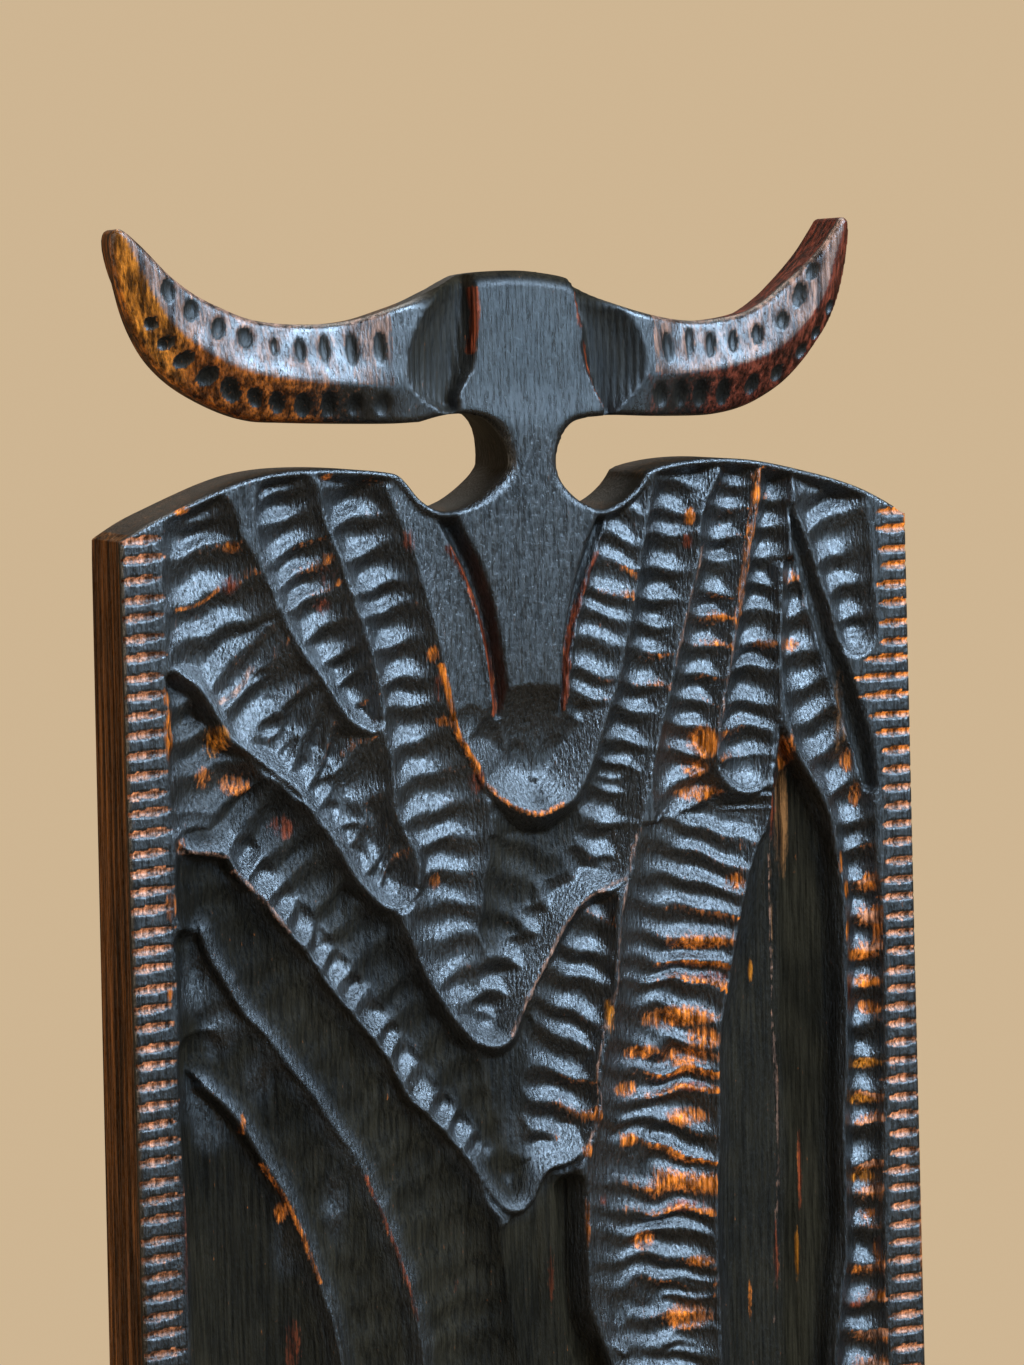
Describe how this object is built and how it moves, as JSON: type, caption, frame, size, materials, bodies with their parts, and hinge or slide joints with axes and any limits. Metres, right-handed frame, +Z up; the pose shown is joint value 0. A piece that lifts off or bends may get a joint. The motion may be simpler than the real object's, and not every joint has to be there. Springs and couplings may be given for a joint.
{
  "type": "carved wall plank",
  "caption": "Tall carved hardwood plank with notched borders and scooped flutes, topped by a horned bull's head, on two D-ring hangers with rubber wall bumpers.",
  "frame": {"origin": "under the middle of the plank, at its straight bottom end, half way between the carved front and the faces of the wall bumpers", "axes": "+X to the viewer's right when looking at the carved front, +Y from the carved front towards the wall, +Z up"},
  "size_m": [0.3088, 0.046, 0.5896],
  "materials": {
    "burnt_wood": "burnt near-black hardwood, waxed, satin, with orange-brown rub-through on the crests",
    "hanger_steel": "brass-plated steel strap, satin",
    "ring_steel": "brass-plated steel wire, worn",
    "screw_steel": "zinc-plated steel",
    "bumper_rubber": "matt black rubber"
  },
  "bodies": {
    "root": {"carved_board": "burnt_wood", "hanger_strap_left": "hanger_steel", "hanger_strap_right": "hanger_steel", "hanger_screws": "screw_steel", "bumper_top_left": "bumper_rubber", "bumper_top_right": "bumper_rubber", "bumper_bottom_left": "bumper_rubber", "bumper_bottom_right": "bumper_rubber", "bumper_washers": "screw_steel", "bumper_screws": "screw_steel"},
    "ring_left": {"hanger_ring_left": "ring_steel"},
    "ring_right": {"hanger_ring_right": "ring_steel"}
  },
  "joints": [
    {"name": "ring_left_fold", "type": "hinge", "parent": "root", "child": "ring_left", "pos_m": [-0.1, 0.0199, 0.425], "axis": [-1, 0, 0], "range_deg": [0, 172]},
    {"name": "ring_right_fold", "type": "hinge", "parent": "root", "child": "ring_right", "pos_m": [0.1, 0.0199, 0.425], "axis": [-1, 0, 0], "range_deg": [0, 172]}
  ]
}
